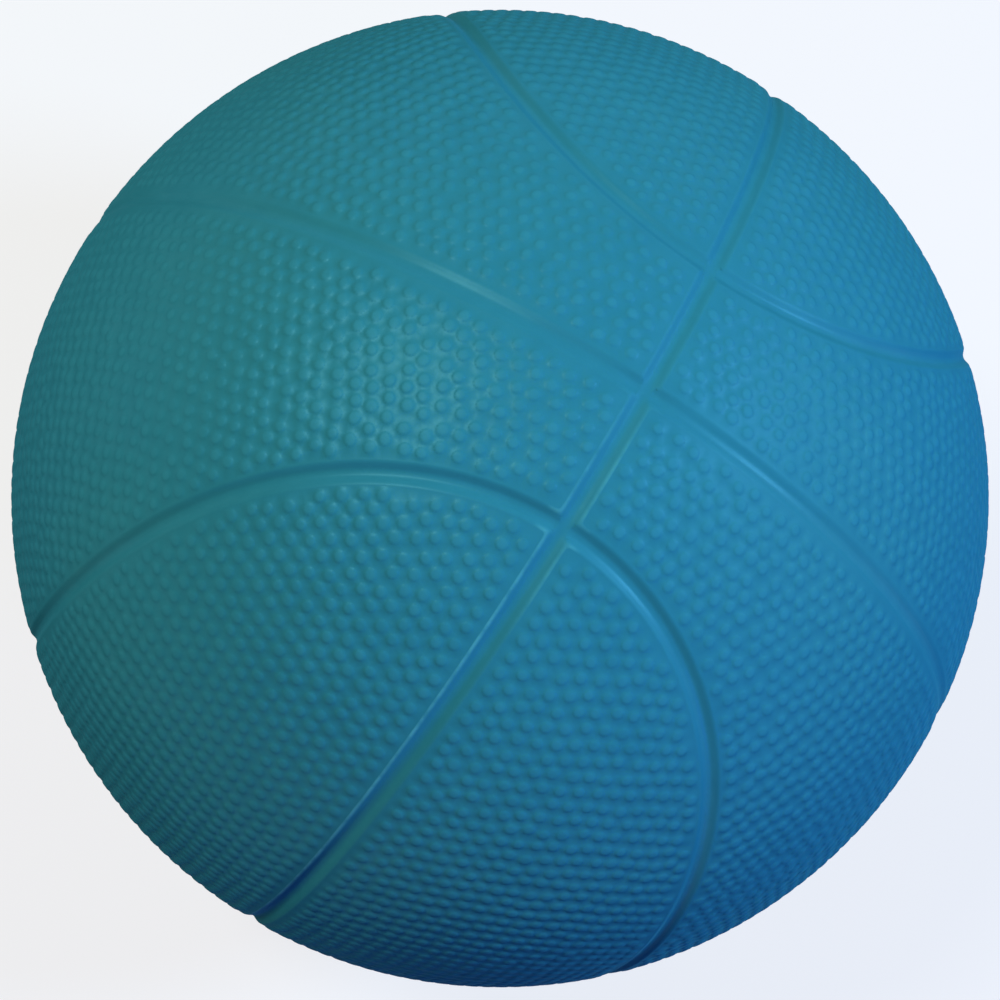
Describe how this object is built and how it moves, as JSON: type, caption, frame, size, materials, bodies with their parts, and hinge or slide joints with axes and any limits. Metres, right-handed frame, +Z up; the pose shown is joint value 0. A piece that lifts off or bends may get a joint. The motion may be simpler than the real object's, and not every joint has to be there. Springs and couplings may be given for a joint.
{
  "type": "dodgeball",
  "caption": "Moulded rubber play ball with a pebbled cover in panels, recessed channels, thread winding, bladder and a needle valve with a core that pulls out.",
  "frame": {"origin": "centre of the ball", "axes": "+Z up through a crossing of the main ring and cross ring channels; +Y out of the valve; +X is the axis of the main ring, so the main ring lies in the plane x = 0 and the cross ring in the plane y = 0"},
  "size_m": [0.216, 0.216, 0.216],
  "materials": {
    "cover": "pebbled moulded rubber, satin",
    "channel": "smooth moulded rubber, satin",
    "carcass": "plain calendered rubber",
    "thread": "nylon thread wound in rubber cement",
    "bladder": "butyl rubber",
    "valve_housing": "smooth moulded rubber",
    "valve_core": "soft moulded rubber"
  },
  "bodies": {
    "ball": {"waist_panel_valve_right": "cover", "waist_panel_valve_left": "cover", "waist_panel_far_right": "cover", "waist_panel_far_left": "cover", "end_panel_valve_right": "cover", "end_panel_valve_left": "cover", "end_panel_far_right": "cover", "end_panel_far_left": "cover", "ring_channel_strip": "channel", "cross_channel_strip_right": "channel", "cross_channel_strip_left": "channel", "loop_channel_strip_valve_right": "channel", "loop_channel_strip_valve_left": "channel", "loop_channel_strip_far_right": "channel", "loop_channel_strip_far_left": "channel", "carcass": "carcass", "thread_winding": "thread", "bladder": "bladder", "valve_patch": "bladder", "valve_housing": "valve_housing"},
    "valve_core": {"valve_core": "valve_core"}
  },
  "joints": [
    {"name": "valve_core_pull", "type": "slide", "parent": "ball", "child": "valve_core", "axis": [0, 1, 0], "range_m": [0, 0.018]}
  ]
}
